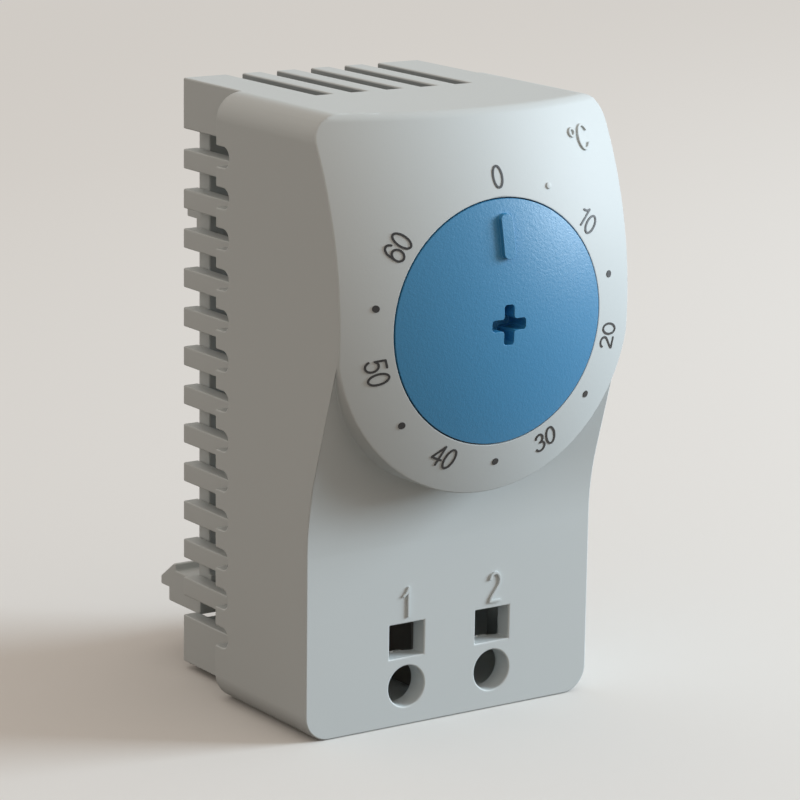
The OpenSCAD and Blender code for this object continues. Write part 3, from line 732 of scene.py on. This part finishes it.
    def even_out(self, piece: bpy.types.Object) -> None:
        """Lets flat faces stay flat next to their round edges, and the dome be truly round.

        Args:
            piece: The part, whose mesh gets its final normals.
        """
        even = piece.modifiers.new("even", "WEIGHTED_NORMAL")
        even.keep_sharp = True
        even.weight = self.flat_weight
        graph = bpy.context.evaluated_depsgraph_get()
        done = bpy.data.meshes.new_from_object(piece.evaluated_get(graph))
        piece.modifiers.remove(even)
        rough, piece.data = piece.data, done
        bpy.data.meshes.remove(rough)
        normals = [corner.vector.copy() for corner in done.corner_normals]
        for face in done.polygons:
            for loop in face.loop_indices:
                out = done.vertices[done.loops[loop].vertex_index].co - DOME_CENTRE
                off = min(abs(out.length - radius) for radius in (DOME_R, DOME_R + POINTER_H))
                lean = math.degrees(face.normal.angle(out, NO_ANGLE))
                if off < self.dome_slack and lean < self.dome_lean:
                    normals[loop] = out.normalized()
        done.normals_split_custom_set(normals)


def arc(centre: Point, size: Point, start: float, end: float, steps: int = 14) -> list[Point]:
    """Points on a part of an ellipse.

    Args:
        centre: The ellipse's centre.
        size: Its two half widths.
        start: First angle, in degrees from the right, counter clockwise.
        end: Last angle.
        steps: Number of steps.

    Returns:
        The points.
    """
    angles = (math.radians(start + (end - start) * k / steps) for k in range(steps + 1))
    return [(centre[0] + size[0] * math.cos(a), centre[1] + size[1] * math.sin(a)) for a in angles]


def characters() -> dict[str, tuple[float, list[list[Point]]]]:
    """Plain one line characters.

    "i" is the narrower figure one of the terminals, and "o" the ring of the degree sign.

    Returns:
        For each character its width and its strokes, for a height of 1. A dot has one point.
    """
    return {
        "0": (0.56, [arc((0.28, 0.5), (0.26, 0.5), 90, 450, 40)]),
        "1": (0.42, [[(0.32, 0.0), (0.32, 1.0)],
                     [(0.32, 1.0), (0.26, 0.88), (0.15, 0.78), (0.02, 0.72)]]),
        "i": (0.42, [[(0.32, 0.0), (0.32, 1.0)],
                     [(0.32, 1.0), (0.27, 0.90), (0.19, 0.80), (0.08, 0.73)]]),
        "2": (0.56, [arc((0.28, 0.73), (0.25, 0.27), 165, -30, 18)
                     + [(0.40, 0.47), (0.22, 0.28), (0.08, 0.12), (0.03, 0.0)],
                     [(0.03, 0.0), (0.55, 0.0)]]),
        "3": (0.56, [arc((0.27, 0.755), (0.22, 0.245), 160, -90, 20),
                     arc((0.27, 0.26), (0.26, 0.26), 90, -165, 22)]),
        "4": (0.58, [[(0.42, 0.0), (0.42, 1.0)], [(0.42, 1.0), (0.0, 0.30)],
                     [(0.0, 0.30), (0.57, 0.30)]]),
        "5": (0.56, [[(0.49, 1.0), (0.12, 1.0)], [(0.12, 1.0), (0.06, 0.50)],
                     [(0.06, 0.50)] + arc((0.27, 0.32), (0.26, 0.32), 118, -160, 24)]),
        "6": (0.56, [arc((0.29, 0.62), (0.26, 0.38), 30, 180, 14) + [(0.02, 0.48), (0.02, 0.36)],
                     arc((0.28, 0.31), (0.26, 0.31), 180, 540, 32)]),
        "o": (0.40, [arc((0.18, 0.76), (0.16, 0.16), 90, 450, 24)]),
        "C": (0.68, [arc((0.36, 0.5), (0.33, 0.5), 35, 325, 32)]),
        ".": (0.0, [[(0.0, 0.5)]]),
    }


@dataclass
class Mark:
    """One raised mark: a word of one line characters, or a dot.

    The turn is clockwise in degrees. The gap is a share of the strokes' height, and squeeze narrows the
    characters and their gaps.
    """

    text: str
    centre: Point
    turn: float
    height: float
    stroke: float
    rise: float
    ground: Ground
    gap: float = 0.13
    squeeze: float = 1.0
    sink: float = 0.06 * MM
    soften: float = 0.0


@dataclass
class Marks(Assembly):
    """Draws marks on the dome and on the lower face, which lies at face along the second axis."""

    face: float = -30.7 * MM
    cap_steps: int = 3
    cap_end: float = 84.0
    dot_sides: int = 20
    same: float = 1e-9
    weld: float = 0.002 * MM
    stagger: float = 0.002 * MM

    def stroke(self, shape: bmesh.types.BMesh, path: Sequence[Point], width: float) -> None:
        """Draws a flat strip along a path by extruding an edge, with round ends.

        Args:
            shape: The bmesh that takes the strip.
            path: The points of its middle line; a closed path ends where it starts.
            width: Its width.
        """
        line = [Vector((u, v, 0)) for u, v in path]
        closed = (line[0] - line[-1]).length < self.same
        half = width / 2
        stations: list[tuple[Vector, Vector, float]] = []
        for k, point in enumerate(line):
            before = line[k - 1] if k else (line[-2] if closed else point)
            after = line[k + 1] if k + 1 < len(line) else (line[1] if closed else point)
            ahead = (after - before).normalized()
            stations.append((point, ahead, half))
        if not closed:
            first, last = stations[0], stations[-1]
            for k in range(1, self.cap_steps + 1):
                turn = math.radians(self.cap_end) * k / self.cap_steps
                reach, narrow = half * math.sin(turn), half * math.cos(turn)
                stations.insert(0, (first[0] - first[1] * reach, first[1], narrow))
                stations.append((last[0] + last[1] * reach, last[1], narrow))
        rail: list[bmesh.types.BMVert] = []
        for k, (point, ahead, reach) in enumerate(stations):
            side = Vector((-ahead.y, ahead.x, 0)) * reach
            if k == 0:
                rail = [shape.verts.new(point + side), shape.verts.new(point - side)]
                edge = shape.edges.new(rail)
                continue
            made = bmesh.ops.extrude_edge_only(shape, edges=[edge])["geom"]
            fresh = [g for g in made if isinstance(g, bmesh.types.BMVert)]
            left = min(fresh, key=lambda v: (v.co - rail[0].co).length)
            right = fresh[0] if fresh[1] is left else fresh[1]
            left.co, right.co = point + side, point - side
            edge = next(e for e in left.link_edges if right in e.verts)
            rail = [left, right]

    def lift(self, shape: bmesh.types.BMesh, mark: Mark) -> None:
        """Gives a flat mark its height above and its root below the surface.

        Args:
            shape: The flat mark.
            mark: Its sizes.
        """
        bmesh.ops.remove_doubles(shape, verts=shape.verts, dist=self.weld)
        bmesh.ops.recalc_face_normals(shape, faces=shape.faces)
        bmesh.ops.translate(shape, verts=shape.verts, vec=(0, 0, -mark.sink))
        roots = list(shape.faces)
        made = bmesh.ops.extrude_face_region(shape, geom=roots, use_keep_orig=True)["geom"]
        top = [g for g in made if isinstance(g, bmesh.types.BMVert)]
        bmesh.ops.translate(shape, verts=top, vec=(0, 0, mark.rise + mark.sink))
        bmesh.ops.recalc_face_normals(shape, faces=shape.faces)
        if mark.soften:
            lid = {g for g in made if isinstance(g, bmesh.types.BMFace)}
            rim = [e for e in shape.edges
                   if len(e.link_faces) == 2 and len(lid.intersection(e.link_faces)) == 1]
            bmesh.ops.bevel(shape, geom=rim, offset=mark.soften, affect="EDGES", segments=2, profile=0.5,
                            material=-1, clamp_overlap=True)

    def wrap(self, shape: bmesh.types.BMesh, mark: Mark) -> None:
        """Lays a mark on its ground.

        Args:
            shape: The mark, flat, with its height along the third axis.
            mark: Its place and ground.
        """
        turn = math.radians(mark.turn)
        for vert in shape.verts:
            u, v, height = vert.co
            x = mark.centre[0] + u * math.cos(turn) + v * math.sin(turn)
            z = mark.centre[1] - u * math.sin(turn) + v * math.cos(turn)
            if mark.ground is Ground.LOWER_FACE:
                vert.co = Vector((x, self.face - height, z))
                continue
            reach = DOME_R ** 2 - (x - DOME_CENTRE.x) ** 2 - (z - DOME_CENTRE.z) ** 2
            on_dome = Vector((x, DOME_CENTRE.y - math.sqrt(reach), z)) - DOME_CENTRE
            vert.co = DOME_CENTRE + on_dome * (1 + height / DOME_R)
        bmesh.ops.recalc_face_normals(shape, faces=shape.faces)

    def draw(self, mark: Mark, into: bmesh.types.BMesh) -> None:
        """Draws one mark and adds it to a growing shape.

        Each stroke stands a hair higher than the one before, so that no two tops share a plane.

        Args:
            mark: The mark.
            into: The shape that takes it.
        """
        table = characters()
        scale = mark.height - mark.stroke
        wide = scale * mark.squeeze
        total = sum(table[c][0] for c in mark.text) * wide + mark.gap * wide * (len(mark.text) - 1)
        start = -total / 2
        order = 0
        for letter in mark.text:
            width, strokes = table[letter]
            for path in strokes:
                strip = bmesh.new()
                if letter == ".":
                    bmesh.ops.create_circle(strip, cap_ends=True, segments=self.dot_sides,
                                            radius=mark.height / 2)
                else:
                    points = [(start + u * wide, (v - 0.5) * scale) for u, v in path]
                    self.stroke(strip, points, mark.stroke)
                self.lift(strip, replace(mark, rise=mark.rise + order * self.stagger))
                self.wrap(strip, mark)
                carrier = bpy.data.meshes.new("stroke")
                strip.to_mesh(carrier)
                strip.free()
                into.from_mesh(carrier)
                bpy.data.meshes.remove(carrier)
                order += 1
            start += (width + mark.gap) * wide


@dataclass
class ScalePrint(Marks):
    """The dial's scale on the dome: numbers, dots and the unit."""

    ring: float = 13.56 * MM
    numbers: int = 7
    outward: tuple[int, ...] = (0, 1, 6)
    step: float = 51.0
    digit_h: float = 2.12 * MM
    digit_stroke: float = 0.2 * MM
    dot: float = 0.68 * MM
    rise: float = 0.05 * MM
    bare_dot: float = 0.6 * MM
    bare_rise: float = 0.13 * MM
    bare_soften: float = 0.04 * MM
    unit_centre: Point = (11.3 * MM, 29.98 * MM)
    unit_h: float = 2.4 * MM
    unit_stroke: float = 0.24 * MM
    unit_rise: float = 0.18 * MM
    unit_gap: float = 0.15
    unit_soften: float = 0.07 * MM

    def spot(self, angle: float) -> Point:
        """The place of a mark at an angle clockwise from the top."""
        turn = math.radians(angle)
        return self.ring * math.sin(turn), DOME_CENTRE.z + self.ring * math.cos(turn)

    def build(self) -> None:
        """Builds the numbers, the inked dots, the bare dot and the unit."""
        inked = bmesh.new()
        for k in range(self.numbers):
            angle = k * self.step
            reading = Reading.OUTWARD if k in self.outward else Reading.INWARD
            self.draw(Mark(str(10 * k), self.spot(angle), angle + reading.value, self.digit_h,
                           self.digit_stroke, self.rise, Ground.DOME), inked)
        for k in range(1, self.numbers - 1):
            self.draw(Mark(".", self.spot((k + 0.5) * self.step), 0, self.dot, self.dot, self.rise,
                           Ground.DOME), inked)
        self.add(self.seal(inked, "scale_print"), "scale_print", Body.CASE, self.palette.ink)
        bare = bmesh.new()
        self.draw(Mark(".", self.spot(0.5 * self.step), 0, self.bare_dot, self.bare_dot, self.bare_rise,
                       Ground.DOME, soften=self.bare_soften), bare)
        self.draw(Mark("oC", self.unit_centre, 0, self.unit_h, self.unit_stroke, self.unit_rise,
                       Ground.DOME, gap=self.unit_gap, soften=self.unit_soften), bare)
        self.add(self.seal(bare, "unit_relief"), "unit_relief", Body.CASE, self.palette.shell,
                 "housing_grey")


@dataclass
class TerminalMarks(Marks):
    """The raised numbers above the two release openings."""

    number_h: float = 3.08 * MM
    stroke_w: float = 0.25 * MM
    squeeze: float = 0.82
    rise: float = 0.2 * MM
    soften: float = 0.02 * MM
    first: Point = (-5.2 * MM, -14.08 * MM)
    second: Point = (5.2 * MM, -14.08 * MM)

    def build(self) -> None:
        """Builds the two numbers."""
        relief = bmesh.new()
        for text, spot in (("i", self.first), ("2", self.second)):
            self.draw(Mark(text, spot, 0, self.number_h, self.stroke_w, self.rise, Ground.LOWER_FACE,
                           squeeze=self.squeeze, soften=self.soften), relief)
        self.add(self.seal(relief, "terminal_numbers"), "terminal_numbers", Body.CASE, self.palette.shell,
                 "housing_grey")


@dataclass
class CoilSpring(Assembly):
    """A wound compression spring of round wire with closed ends.

    An end is closed over a part of a turn, where the pitch is the wire's thickness and a little more.
    """

    node: str = "latch_spring"
    foot: tuple[float, float, float] = (0.0, -1.9 * MM, -13.4 * MM)
    axis: tuple[float, float, float] = (0.0, 0.0, 1.0)
    length: float = 9.2 * MM
    radius: float = 1.2 * MM
    wire: float = 0.5 * MM
    turns: int = 8
    joint: str = "latch_slide"
    keep: float = 0.761
    closed: float = 0.75
    closed_pitch: float = 1.06
    crease: float = 60.0
    steps: int = 26
    rim: int = 14

    def build(self) -> bpy.types.Object:
        """Winds the wire by sweeping a circle along a helix.

        Returns:
            The spring.
        """
        shape = bmesh.new()
        lie = Vector((0, 0, 1)).rotation_difference(Vector(self.axis)).to_matrix().to_4x4()
        pitch_end = self.wire * self.closed_pitch
        last = self.turns - self.closed
        climb = (self.length - self.wire - 2 * self.closed * pitch_end) / (last - self.closed)
        count = self.turns * self.steps
        rim = [Vector((self.radius + self.wire / 2 * math.cos(a), 0, self.wire / 2 * math.sin(a)))
               for a in (2 * math.pi * s / self.rim for s in range(self.rim))]
        loop: list[bmesh.types.BMVert] = []
        for k in range(count + 1):
            turn = k / self.steps
            rise = (min(turn, self.closed) + max(0.0, turn - last)) * pitch_end
            rise += max(0.0, min(turn, last) - self.closed) * climb
            spin = Matrix.Rotation(2 * math.pi * turn, 4, "Z")
            up = Vector((0, 0, self.wire / 2 + rise))
            ring_co = [lie @ (spin @ p + up) + Vector(self.foot) for p in rim]
            if not loop:
                loop = [shape.verts.new(co) for co in ring_co]
                edges = [shape.edges.new((loop[s], loop[s - 1])) for s in range(self.rim)]
                shape.faces.new(loop)
                continue
            made = bmesh.ops.extrude_edge_only(shape, edges=edges)["geom"]
            fresh = [g for g in made if isinstance(g, bmesh.types.BMVert)]
            partner = {}
            for old in loop:
                for link in old.link_edges:
                    other = link.other_vert(old)
                    if other in fresh:
                        partner[old] = other
            loop = [partner[old] for old in loop]
            for vert, co in zip(loop, ring_co):
                vert.co = co
            edges = [next(e for e in loop[s].link_edges if loop[s - 1] in e.verts)
                     for s in range(self.rim)]
        shape.faces.new(loop)
        bmesh.ops.recalc_face_normals(shape, faces=shape.faces)
        name = self.node + "_wire"
        piece = self.add(self.seal(shape, name, self.crease), name, Body.CASE, self.palette.wire,
                         "spring_steel")
        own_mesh(piece)
        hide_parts(self.node)
        return piece


@dataclass
class MetalWorks(Assembly):
    """The inner works: carried solids that only take their finish."""

    def build(self) -> None:
        """Dresses each carried solid."""
        paint = self.palette
        finishes = {
            "mechanism_frame": paint.frame, "frame_screws": paint.steel, "dial_clip": paint.stainless,
            "friction_washer": paint.washer, "setting_spindle": paint.brass, "setting_lever": paint.steel,
            "calibration_screw": paint.brass, "pivot_pin": paint.steel, "bimetal_foot": paint.steel,
            "bimetal_strip": paint.bimetal, "foot_rivets": paint.brass, "moving_contact": paint.silver,
            "armature": paint.steel, "snap_magnet": paint.magnet, "fixed_contact": paint.silver,
            "terminal_bar_1": paint.brass, "terminal_bar_2": paint.brass,
            "clamp_spring_1": paint.stainless, "clamp_spring_2": paint.stainless,
        }
        for name, finish in finishes.items():
            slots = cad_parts[name].data.materials
            slots.clear()
            slots.append(finish)
            LOG.info("%s: dressed in %s", name, finish.name)


@dataclass
class Studio:
    """Floor, lamp, backdrop light and camera.

    What the camera sees of the floor and the room is pale. What lights the object is darker: the ambient
    colour and the floor's bounce. Far out, the floor fades into the backdrop, so that no horizon shows.
    """

    floor_z: float = -26.4 * MM
    floor_size: float = 6.0
    camera_at: tuple[float, float, float] = (-0.18919, -0.30091, 0.08113)
    look: tuple[float, float, float] = (0.54641, 0.80680, -0.22473)
    right: tuple[float, float, float] = (0.82962, -0.55818, 0.013265)
    lens: float = 160.05
    sensor: float = 36.0
    clip: tuple[float, float] = (0.01, 20.0)
    ambient: Colour = (0.58, 0.515, 0.46)
    floor_tone: Colour = field(default_factory=lambda: srgb(236, 235, 232))
    floor_cloud: float = 3.0
    floor_low: float = 0.985
    floor_roughness: float = 0.8
    backdrop: float = 0.9
    bounce: Colour = (0.16, 0.14, 0.12)
    fade_from: float = 0.3
    fade_over: float = 0.9
    key_at: tuple[float, float, float] = (0.65, -0.335, 0.235)
    key_size: float = 0.36
    key_watts: float = 6.75
    key_tint: Colour = (0.765, 0.895, 1.0)

    def lamp(self) -> None:
        """Adds the one soft lamp, which faces the object."""
        light = bpy.data.lights.new("key", "AREA")
        light.size = self.key_size
        light.energy = self.key_watts
        light.color = self.key_tint
        lamp = bpy.data.objects.new("key", light)
        lamp.location = self.key_at
        lamp.rotation_euler = (-Vector(self.key_at)).to_track_quat("-Z", "Y").to_euler()
        bpy.context.scene.collection.objects.link(lamp)

    def floor(self) -> None:
        """Lays the floor under the object's foot."""
        shape = bmesh.new()
        bmesh.ops.create_grid(shape, x_segments=1, y_segments=1, size=self.floor_size / 2)
        bmesh.ops.translate(shape, verts=shape.verts, vec=(0, 0, self.floor_z))
        mesh = bpy.data.meshes.new("studio_floor")
        shape.to_mesh(mesh)
        shape.free()
        net = Net.paint("studio floor")
        here, seen = net.place(), net.seen()
        across, along = (net.node("ShaderNodeSeparateXYZ", {}, {0: here}, k) for k in range(2))
        far = (((across * across + along * along) ** 0.5 - self.fade_from) / self.fade_over).clamp()
        cloud = net.noise(here, self.floor_cloud)
        pale = net.mix(cloud, shade(self.floor_tone, self.floor_low), self.floor_tone)
        mesh.materials.append(net.dress({
            "Base Color": net.mix(seen, self.bounce, net.mix(far, pale, BLACK)),
            "Emission Color": net.mix(seen * far, BLACK, shade(self.floor_tone, self.backdrop)),
            "Emission Strength": 1.0,
            "Roughness": self.floor_roughness,
            "Specular IOR Level": 0.0,
        }))
        piece = bpy.data.objects.new("studio_floor", mesh)
        bpy.context.scene.collection.objects.link(piece)

    def camera(self) -> None:
        """Sets the camera where the photograph was taken from."""
        look, right = Vector(self.look).normalized(), Vector(self.right).normalized()
        up = right.cross(look).normalized()
        right = look.cross(up).normalized()
        data = bpy.data.cameras.new("camera")
        data.lens = self.lens
        data.sensor_width = self.sensor
        data.clip_start, data.clip_end = self.clip
        camera = bpy.data.objects.new("camera", data)
        turn = Matrix((right, up, -look)).transposed().to_4x4()
        camera.matrix_world = Matrix.Translation(self.camera_at) @ turn
        bpy.context.scene.collection.objects.link(camera)
        bpy.context.scene.camera = camera

    def world(self) -> None:
        """Lights the room evenly; the camera sees a pale backdrop."""
        net = Net(bpy.data.worlds.new("room"))
        pale = shade(self.floor_tone, self.backdrop)
        bpy.context.scene.world = net.dress({"Color": net.mix(net.seen(), self.ambient, pale)})

    def build(self) -> None:
        """Builds the whole studio."""
        self.camera()
        self.floor()
        self.world()
        self.lamp()
        bpy.context.scene.view_settings.view_transform = "Standard"


def main() -> None:
    """Builds the thermostat's looks in order."""
    logging.basicConfig(level=logging.INFO, format="%(message)s")
    Studio().build()
    palette = Palette()
    Moulding(palette).build(palette.shell)
    Moulding(palette, "back_plate", Body.CASE, "plate_grey").build(palette.plate)
    Moulding(palette, "rail_latch", Body.LATCH, "latch_grey").build(palette.latch)
    Moulding(palette, "dial", Body.DIAL, "dial_blue", edge=0.05 * MM, weld=0.03 * MM).build(palette.dial)
    ScalePrint(palette).build()
    TerminalMarks(palette).build()
    CoilSpring(palette).build()
    low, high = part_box("return_spring")
    length = high.y - low.y - BEND_ROOM
    CoilSpring(palette, "return_spring", foot=(0.0, high.y, 20.4 * MM), axis=(0.0, -1.0, 0.0),
               length=length, radius=1.75 * MM, wire=0.5 * MM, turns=6, joint="lever_tilt",
               keep=1 - LEVER_PUSH / length).build()
    MetalWorks(palette).build()


if __name__ == "__main__":
    main()
